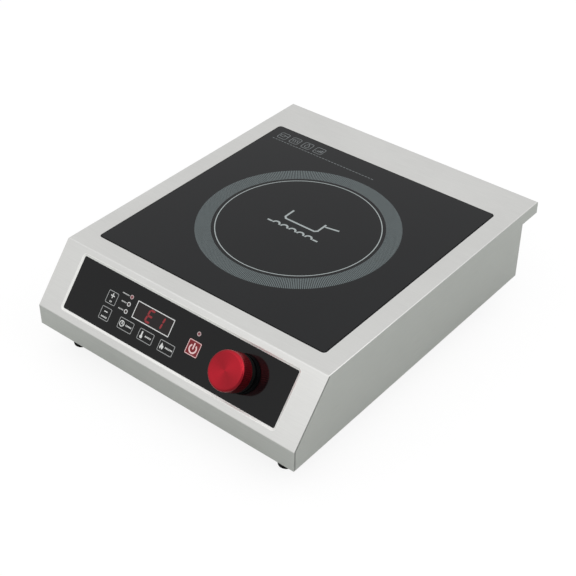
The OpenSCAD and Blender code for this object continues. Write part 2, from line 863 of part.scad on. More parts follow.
module power_transistors() {
    color([0.1, 0.1, 0.1]) placed()
        for (x = [-22, 0]) translate([sink_c[0] + x, 200, power_top]) package(16, 21, 3);
}

module bridge_rectifier() {
    color([0.12, 0.12, 0.12]) placed() translate([sink_c[0] + 10, 250, power_top]) package(30, 20, 4);
}

module film_capacitors() {
    sizes = [[42, 24, 30], [32, 18, 26], [26, 12, 22]];
    ys = [186, 220, 248];
    color([0.8, 0.65, 0.2]) placed()
        for (i = [0:2]) translate([-56, ys[i], power_top]) cube(sizes[i]);
}

// Wound ring choke standing flat on the board
module filter_choke() {
    ring_in = 7;
    ring_out = 14;
    ring_h = 12;
    windings = 16;
    color([0.7, 0.4, 0.15]) placed() translate([8, 218, power_top + 2.2]) {
        difference() {
            rod(ring_out, 0, ring_h);
            rod(ring_in, -1, ring_h + 1);
        }
        for (i = [0:windings - 1])
            rotate(i * 300 / windings)
                translate([ring_in - 1, -0.6, -1]) difference() {
                    cube([ring_out - ring_in + 2, 1.2, ring_h + 2]);
                    translate([1.5, -1, 1.5]) cube([ring_out - ring_in - 1, 4, ring_h - 1]);
                }
        rod(3, -2.2, 0.5);
        translate([-ring_in - 3, -2, -2.2]) cube([2 * ring_in + 6, 4, 2.3]);
    }
}

module line_fuse() {
    color([0.85, 0.85, 0.85]) placed() translate([2, 252, power_top + 4]) rotate([0, 90, 0]) {
        rod(2.5, 0, 20);
        for (z = [0, 15]) rod(3, z, z + 5);
    }
}

// ---------- fan and air duct ----------

module at_fan() {
    placed() translate([fan_c[0], fan_c[1], base_top]) children();
}

module fan_frame() {
    hub_low = 3;
    tube_r = 5;
    color([0.08, 0.08, 0.08]) at_fan() {
        difference() {
            plate(fan_w, fan_w, 5, 0, fan_h);
            rod(fan_bore_r, -1, fan_h + 1);
            for (p = FAN_SCREWS)
                translate([p[0] - fan_c[0], p[1] - fan_c[1], 0]) rod(m4_hole_r, -1, fan_h + 1);
        }
        difference() {
            union() {
                rod(fan_hub_r, 0, hub_low);
                for (i = [0:3])
                    rotate(45 + 90 * i) translate([0, -2, 0]) cube([fan_bore_r + 1, 4, hub_low]);
                rod(tube_r, 0, 15);
            }
            rod(fan_axle_r + fan_axle_gap, 1, 16);
        }
    }
}

// Hub cup, blades and axle, turning as one
module fan_rotor() {
    cup_low = 4.2;
    cup_top = 23;
    blade_r = fan_bore_r - 1.2;
    color([0.1, 0.1, 0.1]) at_fan() {
        difference() {
            rod(fan_hub_r, cup_low, cup_top);
            rod(fan_hub_r - 1.5, cup_low - 1, cup_top - 1.5);
        }
        rod(fan_axle_r, 1.3, cup_top - 1);
        intersection() {
            difference() {
                rod(blade_r, cup_low + 1, cup_top);
                rod(fan_hub_r - 0.7, 0, fan_h);
            }
            for (i = [0:fan_blades - 1])
                rotate(i * 360 / fan_blades)
                    translate([0, 0, (cup_low + cup_top) / 2])
                        rotate([38, 0, 0])
                            translate([fan_hub_r - 2, -14, -0.8]) cube([blade_r, 28, 1.6]);
        }
    }
}

module fan_screws() {
    color("silver") placed() for (p = FAN_SCREWS) translate([p[0], p[1], base_z]) m4_screw(14);
}

// Hood over the fan that turns the air into the heat sink
module air_duct() {
    wall = 1.5;
    duct_w = fan_w + 2;
    duct_l = fan_w + 14;
    duct_h = 19;
    color([0.15, 0.15, 0.15]) at_fan() translate([-duct_w / 2, -fan_w / 2 - 1, fan_h]) difference() {
        cube([duct_w, duct_l, duct_h]);
        translate([wall, wall, -1]) cube([duct_w - 2 * wall, duct_l, duct_h - wall + 1]);
    }
}

// ---------- wiring ----------

// Sideways direction at point i of a path, lengthened where the path bends so that a strip
// drawn along it keeps its thickness
function across(path, i) =
    let (
        before = max(i, 1),
        after = min(i + 1, len(path) - 1),
        a = unit(path[before] - path[before - 1]),
        b = unit(path[after] - path[after - 1]),
        along = unit(a + b)
    )
    [-along[1], along[0]] / (along * a);

// Flat cable from the back of the control board to the power board
module ribbon_cable() {
    ribbon_w = 20;
    ribbon_t = 1;
    plug_s = panel_s + CONNECTOR[1];
    plug_low = board_low - connector_h;
    board_y = POWER_BOARD[0][1] + 8;
    path = [slope_point(plug_s, plug_low), slope_point(plug_s, plug_low - 3), [60, 24], [150, 20],
        [board_y, power_top + 8], [board_y, power_top]];
    last = len(path) - 1;
    color([0.75, 0.75, 0.75]) placed() translate([CONNECTOR[0] - ribbon_w / 2, 0, 0])
        rotate([90, 0, 90]) linear_extrude(ribbon_w)
            polygon(concat(
                [for (i = [0:last]) path[i] + across(path, i) * ribbon_t / 2],
                [for (i = [last:-1:0]) path[i] - across(path, i) * ribbon_t / 2]
            ));
}

// Snap-in bushing that grips the cord in the rear panel
module cord_bushing() {
    panel_out = side_l - sheet_t;
    collar = 3;
    nose = 7;
    color([0.06, 0.06, 0.06]) placed()
        translate([cord_x, panel_out, cord_z]) rotate([-90, 0, 0]) difference() {
            union() {
                rod(bushing_r, -6, collar);
                rod(bushing_r + 1.6, -5, -sheet_t - 0.1);
                rod(bushing_r + 2, 0, collar);
                translate([0, 0, collar]) cylinder(r1 = bushing_r, r2 = bushing_r - 1.6, h = nose);
            }
            rod(cord_r + 0.1, -7, collar + nose + 1);
        }
}

// A quarter turn of the cord in the XY plane, from the X axis to the Y axis
module quarter_bend() {
    rotate_extrude(angle = 90) translate([cord_bend, 0]) circle(cord_r);
}

// Cord: out through the bushing, down behind the body, then along the table
module supply_cord() {
    inner_y = side_l - 16;
    bend_y = cord_drop_y - cord_bend;
    drop_z = cord_z - cord_bend;
    table_bend_z = cord_table_z + cord_bend;
    color([0.05, 0.05, 0.05]) placed() {
        translate([cord_x, inner_y, cord_z]) rotate([-90, 0, 0]) rod(cord_r, 0, bend_y - inner_y);
        translate([cord_x, bend_y, drop_z]) rotate([90, 0, 90]) quarter_bend();
        translate([cord_x, cord_drop_y, 0]) rod(cord_r, table_bend_z, drop_z);
        translate([cord_x - cord_bend, cord_drop_y, table_bend_z])
            rotate([90, 0, 0]) rotate(-90) quarter_bend();
        translate([cord_x - cord_bend - cord_tail, cord_drop_y, cord_table_z])
            rotate([0, 90, 0]) rod(cord_r, 0, cord_tail);
    }
}

// Live, neutral and earth from the cord, then live and neutral on to the power board
module mains_leads() {
    lead = 1.1;
    start = [cord_x, side_l - 17, cord_z];
    earth_top = base_top + 16;
    color([0.2, 0.35, 0.6]) placed() {
        for (i = [0, 1]) {
            x = TERMINALS[i];
            side = 5.2 * i;
            wire([start + [side - 2.6, 0, 0], start + [side - 6, -12, -4 * i],
                [x, terminal_y + 3, 30 - 4 * i], [x, terminal_y + 3, terminal_top]], lead);
            wire([[x, terminal_y - 3, terminal_top], [x, terminal_y - 3, 28 + 3 * i],
                [24 - 8 * i, 300, 28 + 3 * i], [24 - 8 * i, 300, power_top]], lead);
        }
        wire([start - [0, 0, 2.6], start - [0, 8, 10], [EARTH_POINT[0] + 12, EARTH_POINT[1] - 8, earth_top],
            [EARTH_POINT[0] + 5.6, EARTH_POINT[1], base_top + 4]], lead);
    }
}

module terminal_block() {
    color([0.85, 0.85, 0.8]) placed() difference() {
        translate([TERMINALS[0] - 7, terminal_y - 9, base_top]) cube([28, 18, terminal_top - base_top]);
        for (x = TERMINALS, y = [-3, 3]) translate([x, terminal_y + y, 0]) rod(1.6, terminal_top - 6, 30);
    }
}

// Flanged screw that bonds the earth lead to the base plate
module earth_screw() {
    color("gold") placed() translate([EARTH_POINT[0], EARTH_POINT[1], base_top]) {
        rod(2, -4, 0);
        rod(4.5, 0, 1);
        hex(7, 1, 4);
    }
}

// ---------- the nodes ----------

top_cover();
base_plate();
rear_panel();
feet();
foot_screws();
foot_nuts();
base_screws();
rear_screws();
glass_plate();
glass_seal();
control_overlay();
key_carrier();
carrier_nuts();
display_window();
display_module();
indicator_leds();
control_board();
control_board_screws();
tact_switches();
buzzer();
key_plus();
key_minus();
key_timer();
key_temperature();
key_power_level();
key_on_off();
knob_cap();
knob_core();
encoder_body();
encoder_nut();
encoder_shaft();
mica_disc();
induction_coil();
coil_former();
ferrite_bars();
coil_carrier();
coil_springs();
coil_posts();
sensor_holder();
temperature_sensor();
coil_leads();
power_board();
power_board_posts();
power_board_screws();
heat_sink();
power_transistors();
bridge_rectifier();
film_capacitors();
filter_choke();
line_fuse();
fan_frame();
fan_rotor();
fan_screws();
air_duct();
ribbon_cable();
cord_bushing();
supply_cord();
mains_leads();
terminal_block();
earth_screw();
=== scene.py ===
"""Looks of the counter-top induction hob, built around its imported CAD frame.

Everything is in metres in the frame of the CAD: +X to the right, +Y to the back, +Z up. Outlines
and sections are in millimetres, in the axes of the surface or axis they belong to.
"""

import json
import math

import bpy
from mathutils import Matrix, Vector


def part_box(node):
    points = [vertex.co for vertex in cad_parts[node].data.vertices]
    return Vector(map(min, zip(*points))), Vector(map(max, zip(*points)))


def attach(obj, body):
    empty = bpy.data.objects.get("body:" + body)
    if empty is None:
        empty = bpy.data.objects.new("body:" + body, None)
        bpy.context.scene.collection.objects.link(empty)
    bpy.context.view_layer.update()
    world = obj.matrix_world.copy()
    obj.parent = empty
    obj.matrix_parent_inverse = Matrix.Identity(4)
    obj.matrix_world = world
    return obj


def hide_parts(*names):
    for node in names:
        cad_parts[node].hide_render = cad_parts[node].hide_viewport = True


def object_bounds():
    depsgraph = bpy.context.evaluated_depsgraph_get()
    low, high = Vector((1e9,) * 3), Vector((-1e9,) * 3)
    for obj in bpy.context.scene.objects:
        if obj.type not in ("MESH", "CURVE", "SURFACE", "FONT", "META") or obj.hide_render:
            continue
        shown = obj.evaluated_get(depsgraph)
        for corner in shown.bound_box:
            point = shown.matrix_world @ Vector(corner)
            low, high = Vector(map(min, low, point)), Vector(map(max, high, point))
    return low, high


MM = 0.001

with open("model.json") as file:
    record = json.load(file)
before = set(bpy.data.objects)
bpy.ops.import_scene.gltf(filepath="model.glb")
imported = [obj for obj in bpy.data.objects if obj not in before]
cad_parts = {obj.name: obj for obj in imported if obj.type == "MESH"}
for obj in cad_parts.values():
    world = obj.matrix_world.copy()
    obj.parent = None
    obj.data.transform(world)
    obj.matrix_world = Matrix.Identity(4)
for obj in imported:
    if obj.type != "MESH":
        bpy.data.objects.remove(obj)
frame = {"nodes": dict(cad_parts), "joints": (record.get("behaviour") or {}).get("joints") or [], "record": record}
cad_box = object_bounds()
NODES = frame["nodes"]
JOINTS = {joint["name"]: joint for joint in frame["joints"]}


# ---------------------------------------------------------------- places on the object


# Vertices this near a node's highest one, in metres, belong to its outermost face
FACE_TOLERANCE = 0.01 * MM


def placed(origin, x_axis, z_axis):
    """Matrix of a frame at origin with these x and z axes."""
    rows = (x_axis, z_axis.cross(x_axis), z_axis)
    matrix = Matrix(rows).transposed().to_4x4()
    matrix.translation = origin
    return matrix


def top_face(node, matrix):
    """Centre, half size and height of the node's outermost face, in the axes of matrix."""
    inverse = matrix.inverted()
    points = [inverse @ vertex.co for vertex in NODES[node].data.vertices]
    height = max(point.z for point in points)
    face = [point for point in points if point.z > height - FACE_TOLERANCE]
    low = Vector((min(p.x for p in face), min(p.y for p in face)))
    high = Vector((max(p.x for p in face), max(p.y for p in face)))
    return (low + high) / 2, (high - low) / 2, height


def on_face(node, matrix):
    """The axes of matrix, moved to the middle of the node's outermost face."""
    centre, _, height = top_face(node, matrix)
    return matrix @ Matrix.Translation((centre.x, centre.y, height))


X_AXIS = Vector((1, 0, 0))
Y_AXIS = Vector((0, 1, 0))
Z_AXIS = Vector((0, 0, 1))
SLOPE_NORMAL = Vector(JOINTS["knob_turn"]["axis"]).normalized()
KNOB_AXIS = placed(Vector(JOINTS["knob_turn"]["pos_m"]), X_AXIS, SLOPE_NORMAL)
PANEL = on_face("control_overlay", KNOB_AXIS)

_, glass_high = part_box("glass_plate")
zone_low, zone_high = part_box("mica_disc")
zone_centre = (zone_low + zone_high) / 2
ZONE = placed(Vector((zone_centre.x, zone_centre.y, glass_high.z)), X_AXIS, Z_AXIS)


def panel_size(node):
    """Width and length in millimetres of the node's outermost face, as it lies on the panel."""
    _, half, _ = top_face(node, PANEL)
    return 2 * half.x / MM, 2 * half.y / MM


# ---------------------------------------------------------------- outlines in millimetres


def arc(x, y, radius, start, end, steps):
    """Points from angle start to angle end, in degrees, both included."""
    angles = [math.radians(start + (end - start) * i / steps) for i in range(steps + 1)]
    return [(x + radius * math.cos(a), y + radius * math.sin(a)) for a in angles]


def round_box(x, y, width, length, radius, steps=6):
    """Closed outline of a rectangle with round corners."""
    corners = ((1, 1, 0), (-1, 1, 90), (-1, -1, 180), (1, -1, 270))
    outline = []
    for side, end, start in corners:
        corner_x = x + side * (width / 2 - radius)
        corner_y = y + end * (length / 2 - radius)
        outline += arc(corner_x, corner_y, radius, start, start + 90, steps)
    return outline


def between(outer, inner, closed=True):
    """Faces of the band between two outlines with as many points each."""
    count = len(outer) if closed else len(outer) - 1
    pairs = [(i, (i + 1) % len(outer)) for i in range(count)]
    return [[outer[i], outer[j], inner[j], inner[i]] for i, j in pairs]


def box_line(x, y, width, length, radius, line):
    """Printed border of a rounded rectangle, drawn inwards."""
    inner = round_box(x, y, width - 2 * line, length - 2 * line, max(radius - line, 0.05))
    return between(round_box(x, y, width, length, radius), inner)


def ring(x, y, radius, line, start=0, end=360, steps=64):
    """Circular line whose outer edge has this radius, or a part of one."""
    return between(
        arc(x, y, radius, start, end, steps), arc(x, y, radius - line, start, end, steps), closed=False
    )


def disc(x, y, radius):
    return [arc(x, y, radius, 0, 360, 32)[:-1]]


# The corner of a stroke is blunted where the cosine of half its turn falls below this
SHARPEST_TURN = 0.4


def stroke(points, line, closed=False):
    """Line of even width along points."""
    count = len(points)
    left, right = [], []
    for i, (x, y) in enumerate(points):
        before = points[i - 1] if closed or i > 0 else points[i]
        after = points[(i + 1) % count] if closed or i < count - 1 else points[i]
        into = Vector((x - before[0], y - before[1])).normalized()
        out = Vector((after[0] - x, after[1] - y)).normalized()
        along = (into + out).normalized()
        reach = line / 2 / max(along.dot(into), along.dot(out), SHARPEST_TURN)
        left.append((x - along.y * reach, y + along.x * reach))
        right.append((x + along.y * reach, y - along.x * reach))
    return between(left, right, closed)


BAR_CORNER = 0.2


def bars(x, y, width, height, count, gap):
    """A row of short bars, which stands for a caption."""
    pitch = (width + gap) / count
    bar = pitch - gap
    middles = [x - width / 2 + pitch * i + bar / 2 for i in range(count)]
    return [round_box(middle, y, bar, height, BAR_CORNER, 2) for middle in middles]


# ---------------------------------------------------------------- building meshes


def make_object(name, vertices, faces, smooth=False):
    mesh = bpy.data.meshes.new(name)
    mesh.from_pydata(vertices, [], faces)
    mesh.validate()
    mesh.update()
    if smooth:
        mesh.shade_smooth()
    else:
        mesh.shade_flat()
    made = bpy.data.objects.new(name, mesh)
    bpy.context.scene.collection.objects.link(made)
    return made


def signed_area(face):
    """Twice the area of a flat outline, above zero if it runs anticlockwise."""
    return sum(a[0] * b[1] - b[0] * a[1] for a, b in zip(face, face[1:] + face[:1]))


def thin_solid(faces, thickness):
    """Closed prism over flat faces that share their common edges."""
    index = {}
    flat = []
    for face in faces:
        if signed_area(face) < 0:
            face = face[::-1]
        keys = [(round(x, 4), round(y, 4)) for x, y in face]
        corners = [index.setdefault(key, len(index)) for key in keys]
        flat.append([corner for i, corner in enumerate(corners) if corner != corners[i - 1]])
    flat = [face for face in flat if len(face) > 2]
    count = len(index)
    edges = {(a, b) for face in flat for a, b in zip(face, face[1:] + face[:1])}
    sides = [[a, b, b + count, a + count] for a, b in sorted(edges) if (b, a) not in edges]
    vertices = [(x, y, z) for z in (0, thickness) for x, y in index]
    under = [face[::-1] for face in flat]
    over = [[corner + count for corner in face] for face in flat]
    return vertices, under + over + sides


def finished(made, body, look):
    """Gives a new piece its material and its body."""
    made.data.materials.append(look)
    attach(made, body)


PRINT_THICKNESS = 0.03


def printed(name, faces, place, body, look):
    """Ink on a surface: faces in millimetres, drawn in the axes of place."""
    vertices, solid = thin_solid(faces, PRINT_THICKNESS)
    made = make_object(name, [place @ (Vector(v) * MM) for v in vertices], solid)
    finished(made, body, look)


def revolved(name, profile, place, segments, radius_at):
    """Closed solid turned from (radius, height) points in millimetres, from axis to axis.

    radius_at(radius, height, angle) gives the radius there, so that a knurl can change it.
    """
    vertices = [place @ Vector((0, 0, profile[0][1] * MM))]
    for radius, height in profile[1:-1]:
        for i in range(segments):
            angle = 2 * math.pi * i / segments
            r = radius_at(radius, height, angle)
            point = Vector((r * math.cos(angle), r * math.sin(angle), height))
            vertices.append(place @ (point * MM))
    vertices.append(place @ Vector((0, 0, profile[-1][1] * MM)))
    rings = len(profile) - 2
    last = len(vertices) - 1
    faces = []
    for i in range(segments):
        j = (i + 1) % segments
        faces.append([0, 1 + i, 1 + j])
        for k in range(rings - 1):
            low, high = 1 + k * segments, 1 + (k + 1) * segments
            faces.append([low + j, low + i, high + i, high + j])
        top = 1 + (rings - 1) * segments
        faces.append([last, top + j, top + i])
    return make_object(name, vertices, faces, smooth=True)


def add_modifier(target, kind, **settings):
    modifier = target.modifiers.new(kind.title(), kind)
    for key, value in settings.items():
        setattr(modifier, key, value)


# The flat faces of the sheets look along these; a fold joins faces that turn by less than the bend
FLAT_DIRECTIONS = (X_AXIS, Y_AXIS, Z_AXIS, SLOPE_NORMAL)
FLAT_COSINE = math.cos(math.radians(1))
BEND_COSINE = math.cos(math.radians(30))


def is_flat(face):
    """Whether a face is part of one of the sheet's flat sides, rather than of a fold."""
    return any(abs(face.normal.dot(direction)) > FLAT_COSINE for direction in FLAT_DIRECTIONS)


def smooth_bends(target):
    """Shades the flat faces of a sheet as flat, and its folds as smooth curves between them."""
    mesh = target.data
    keys = [tuple(round(value / MM, 2) for value in vertex.co) for vertex in mesh.vertices]
    around = {}
    for face in mesh.polygons:
        for index in face.vertices:
            around.setdefault(keys[index], []).append(face)
    normals = []
    for face in mesh.polygons:
        for index in face.vertices:
            near = [other for other in around[keys[index]] if other.normal.dot(face.normal) > BEND_COSINE]
            leading = [other for other in near if is_flat(other)] or near
            normals.append(sum((other.normal * other.area for other in leading), Vector()).normalized())
    mesh.shade_smooth()
    mesh.normals_split_custom_set(normals)


SHARP_ANGLE = math.radians(40)
WELD_DISTANCE = 0.002 * MM


def soften(target, width, segments=2):
    """Rounds the sharp edges of a CAD node, so that they catch the light."""
    add_modifier(target, "WELD", merge_threshold=WELD_DISTANCE)
    add_modifier(
        target,
        "BEVEL",
        width=width * MM,
        segments=segments,
        limit_method="ANGLE",
        angle_limit=SHARP_ANGLE,
        use_clamp_overlap=False,
        loop_slide=False,
        miter_outer="MITER_ARC",
    )
    add_modifier(target, "WEIGHTED_NORMAL", keep_sharp=True, weight=60)


# ---------------------------------------------------------------- materials


# Depths and marks in this section are in metres and per metre.

# Sockets of the Mix node when it mixes colours
MIX_FIRST, MIX_SECOND, MIX_RESULT = 6, 7, 2


class Look:
    """A node material being built. Methods return sockets, which later calls take as inputs."""

    def __init__(self, name, **principled):
        self.material = bpy.data.materials.new(name)
        self.material.use_nodes = True
        self.tree = self.material.node_tree
        self.shader = self.tree.nodes["Principled BSDF"]
        self.set(**principled)

    def join(self, value, socket):
        if isinstance(value, bpy.types.NodeSocket):
            self.tree.links.new(value, socket)
        else:
            socket.default_value = value

    def set(self, **inputs):
        """Inputs of the Principled shader, with spaces written as underscores."""
        for key, value in inputs.items():
            self.join(value, self.shader.inputs[key.replace("_", " ")])

    def add(self, kind, settings=None, inputs=None):
        node = self.tree.nodes.new("ShaderNode" + kind)
        for key, value in (settings or {}).items():
            setattr(node, key, value)
        for key, value in (inputs or {}).items():
            self.join(value, node.inputs[key])
        return node

    def place(self, stretch=(1, 1, 1)):
        """Object coordinates in metres, each axis multiplied by its number."""
        coordinates = self.add("TexCoord").outputs["Object"]
        scale = {"Vector": coordinates, "Scale": stretch}
        return self.add("Mapping", inputs=scale).outputs["Vector"]

    def noise(self, scale, detail=3.0, stretch=(1, 1, 1), roughness=0.5, vector=None):
        vector = vector or self.place(stretch)
        inputs = {"Vector": vector, "Scale": scale, "Detail": detail, "Roughness": roughness}
        return self.add("TexNoise", inputs=inputs).outputs["Fac"]

    def spread(self, value, low, high, from_low=0.3, from_high=0.7):
        """value, remapped so that its usual span covers low to high."""
        inputs = {"Value": value, "From Min": from_low, "From Max": from_high, "To Min": low, "To Max": high}
        return self.add("MapRange", inputs=inputs).outputs["Result"]

    def blend(self, factor, first, second):
        node = self.add("Mix", {"data_type": "RGBA"})
        self.join(factor, node.inputs["Factor"])
        self.join(first, node.inputs[MIX_FIRST])
        self.join(second, node.inputs[MIX_SECOND])
        return node.outputs[MIX_RESULT]

    def math(self, operation, first, second=0.0):
        node = self.add("Math", {"operation": operation})
        self.join(first, node.inputs[0])
        self.join(second, node.inputs[1])
        return node.outputs[0]

    def mixture(self, first, share, second):
        """The share of first, and the rest of second."""
        rest = self.math("MULTIPLY", second, 1 - share)
        return self.math("ADD", self.math("MULTIPLY", first, share), rest)

    def vector_math(self, operation, *operands, result="Vector"):
        inputs = dict(enumerate(operands))
        return self.add("VectorMath", {"operation": operation}, inputs).outputs[result]

    def fan(self, flat, angle):
        """Painted highlight: two bright and two dark sectors round the origin; the bright ones lie along angle."""
        outward = self.vector_math("NORMALIZE", flat)
        bright = Vector((math.cos(angle), math.sin(angle), 0))
        along = self.vector_math("DOT_PRODUCT", outward, bright, result="Value")
        return self.math("MULTIPLY", along, along)

    def bump(self, height, strength, distance):
        inputs = {"Height": height, "Strength": strength, "Distance": distance}
        self.set(Normal=self.add("Bump", inputs=inputs).outputs["Normal"])


def rgba(r, g, b):
    return (r, g, b, 1.0)


def shade(colour, factor):
    """The colour, made lighter or darker by a factor."""
    return tuple(channel * factor for channel in colour[:3]) + (1.0,)


# Brush marks per metre, across them and along them, and how deep they are
BRUSH_MARKS = 2600
BRUSH_BREAKS = 40
BRUSH_DEPTH = 0.00002
# A face is a side wall where its normal has more of X than this
SIDE_WALL = 0.7


def brushed_steel(name, colour, roughness, fine=1.0, metallic=1.0):
    """Sheet with brush lines along X on every face, except along Y on the side walls."""
    look = Look(name, Metallic=metallic, Anisotropic=0.35)
    normal = look.add("NewGeometry").outputs["True Normal"]
    sideways = look.add("SeparateXYZ", inputs={"Vector": normal}).outputs["X"]
    on_side = look.math("GREATER_THAN", look.math("ABSOLUTE", sideways), SIDE_WALL)
    marks = BRUSH_MARKS * fine
    along_x = look.noise(1.0, 2.0, stretch=(BRUSH_BREAKS, marks, marks))
    along_y = look.noise(1.0, 2.0, stretch=(marks, BRUSH_BREAKS, marks))
    lines = look.math(
        "ADD",
        look.math("MULTIPLY", along_y, on_side),
        look.math("MULTIPLY", along_x, look.math("SUBTRACT", 1.0, on_side)),
    )
    clouds = look.noise(9.0, 4.0)
    tone = look.spread(look.mixture(lines, 0.6, clouds), 0, 1, 0.35, 0.65)
    look.set(Base_Color=look.blend(tone, shade(colour, 0.95), shade(colour, 1.04)))
    smudges = look.spread(look.noise(28.0, 5.0, roughness=0.65), -0.03, 0.04)
    line_roughness = look.spread(lines, roughness - 0.03, roughness + 0.03)
    look.set(Roughness=look.math("ADD", smudges, line_roughness))
    look.bump(lines, 0.05, BRUSH_DEPTH)
    return look.material


GRAIN_DEPTH = 0.00004


def moulded(
    name, colour, roughness, grain=2200.0, strength=0.25, metallic=0.0, mottle=0.12, shine=0.5
):
    """Plastic, rubber, plated or cast surface: fine grain, slightly uneven colour and gloss."""
    look = Look(name, Metallic=metallic, Specular_IOR_Level=shine)
    patches = look.noise(55.0, 4.0)
    look.set(Base_Color=look.blend(patches, shade(colour, 1 - mottle), shade(colour, 1 + mottle)))
    look.set(Roughness=look.spread(look.noise(170.0, 3.0), roughness - 0.05, roughness + 0.06))
    look.bump(look.noise(grain, 2.0), strength, GRAIN_DEPTH)
    return look.material


GLASS_WAVE_DEPTH = 0.0002


def polished_glass(name, colour):
    """Black ceramic glass: deep, glossy, with faint wiping marks in its gloss."""
    look = Look(name, IOR=1.46, Specular_IOR_Level=0.2)
    look.set(Base_Color=look.blend(look.noise(14.0, 3.0), shade(colour, 0.9), shade(colour, 1.1)))
    wipes = look.noise(1.0, 4.0, stretch=(35, 90, 35), roughness=0.6)
    look.set(Roughness=look.spread(wipes, 0.09, 0.13))
    look.bump(look.noise(9.0, 1.0), 0.02, GLASS_WAVE_DEPTH)
    return look.material


PEEL_DEPTH = 0.00002


def glossy_film(name, colour, roughness=0.07):
    """Printed polyester of the control panel: glossy, with a very fine orange peel."""
    look = Look(name, IOR=1.45, Specular_IOR_Level=0.33)
    look.set(Base_Color=look.blend(look.noise(30.0, 3.0), shade(colour, 0.9), shade(colour, 1.12)))
    look.set(Roughness=look.spread(look.noise(60.0, 4.0), roughness - 0.02, roughness + 0.04))
    look.bump(look.noise(700.0, 2.0), 0.05, PEEL_DEPTH)
    return look.material


def ink(name, colour):
    """Screen print with slightly uneven cover."""
    look = Look(name)
    look.set(Base_Color=look.blend(look.noise(900.0, 3.0), shade(colour, 0.86), shade(colour, 1.0)))
    look.set(Roughness=look.spread(look.noise(400.0, 2.0), 0.40, 0.53))
    return look.material


def glowing(name, colour, strength):
    """Lit plastic: the light is a little stronger in the middle of each grain."""
    look = Look(name, Roughness=0.3)
    glow = look.blend(look.noise(1500.0, 2.0), shade(colour, 0.75), shade(colour, 1.0))
    look.set(Base_Color=glow, Emission_Color=glow, Emission_Strength=strength)
    return look.material


# Bearing of the bright sectors of the knob face's painted highlight
PAINTED_HIGHLIGHT_ANGLE = math.radians(50)
# Turning marks per metre of radius, and how deep they are
TURNING_MARKS = 9000.0
TURNING_DEPTH = 0.00001


def turned_metal(name, colour, place, roughness):
    """Lathe-turned metal: fine rings about the Z of place, and a painted highlight of bright and dark sectors
    round its centre.
    """
    look = Look(name, Metallic=0.88, Coat_Weight=0.1, Coat_Roughness=0.25, Anisotropic=0.75)
    coordinates = look.add("TexCoord").outputs["Object"]
    across = []
    for row in place.inverted()[:2]:
        along_axis = look.vector_math("DOT_PRODUCT", coordinates, Vector(row[:3]), result="Value")
        across.append(look.math("ADD", along_axis, row[3]))
    flat = look.add("CombineXYZ", inputs={"X": across[0], "Y": across[1]}).outputs["Vector"]
    marks = look.math("MULTIPLY", look.vector_math("LENGTH", flat, result="Value"), TURNING_MARKS)
    rings = look.noise(1.0, 2.0, vector=look.add("CombineXYZ", inputs={"X": marks}).outputs["Vector"])
    outward = look.vector_math("SUBTRACT", coordinates, place.translation)
    around = look.vector_math("CROSS_PRODUCT", SLOPE_NORMAL, outward)
    look.set(Tangent=look.vector_math("NORMALIZE", around))
    # Painted highlight: the bright and dark sectors lighten and darken the base colour, mixed with the turning
    # rings
    tone = look.mixture(rings, 0.35, look.fan(flat, PAINTED_HIGHLIGHT_ANGLE))
    look.set(Base_Color=look.blend(tone, shade(colour, 0.68), shade(colour, 1.35)))
    look.set(Roughness=look.spread(rings, roughness - 0.04, roughness + 0.05))
    look.bump(rings, 0.12, TURNING_DEPTH)
    return look.material


TRACK_DEPTH = 0.00003


def circuit_board(name, colour):
    """Green solder mask with copper tracks showing through as lighter lines."""
    look = Look(name)
    pattern = {
        "Vector": look.place(),
        "Scale": 160.0,
        "Mortar Size": 0.03,
        "Color1": shade(colour, 1.0),
        "Color2": shade(colour, 0.85),
        "Mortar": shade(colour, 1.7),
    }
    tracks = look.add("TexBrick", {"offset": 0.37}, pattern)
    look.set(Base_Color=tracks.outputs["Color"])
    look.set(Roughness=look.spread(look.noise(120.0, 3.0), 0.28, 0.42))
    look.bump(tracks.outputs["Fac"], 0.2, TRACK_DEPTH)
    return look.material


STRAND_DEPTH = 0.0001


def wound_copper(name, colour):
    """Varnished strands: fine twisted lines along the wire."""
    look = Look(name, Metallic=0.85)
    twist = {"wave_type": "BANDS", "bands_direction": "DIAGONAL"}
    pattern = {"Vector": look.place(), "Scale": 520.0, "Distortion": 1.5}
    strands = look.add("TexWave", twist, pattern).outputs["Fac"]
    look.set(Base_Color=look.blend(strands, shade(colour, 0.7), shade(colour, 1.1)))
    look.set(Roughness=look.spread(look.noise(300.0, 3.0), 0.3, 0.45))
    look.bump(strands, 0.4, STRAND_DEPTH)
    return look.material


STEEL_TONE = rgba(0.70, 0.70, 0.685)
# Paler than the steel: a painted highlight for the recess's rolled edge
LIP_HIGHLIGHT_TONE = rgba(0.83, 0.83, 0.81)
PLATED_TONE = rgba(0.52, 0.53, 0.53)
GLASS_TONE = rgba(0.009, 0.0095, 0.0105)
PANEL_TONE = rgba(0.0022, 0.0024, 0.0028)
KNOB_RED = rgba(0.38, 0.010, 0.021)
RING_INK = rgba(0.125, 0.155, 0.16)
MARK_INK = rgba(0.36, 0.40, 0.40)
FAINT_INK = rgba(0.15, 0.165, 0.17)
PANEL_INK = rgba(0.74, 0.75, 0.74)
LINE_INK = rgba(0.36, 0.37, 0.37)
KEY_RED = rgba(0.19, 0.012, 0.018)
PINK_INK = rgba(0.88, 0.62, 0.62)
LED_RING_INK = rgba(0.55, 0.42, 0.43)
LED_RED = rgba(0.16, 0.03, 0.035)
DIGIT_RED = rgba(0.22, 0.006, 0.012)

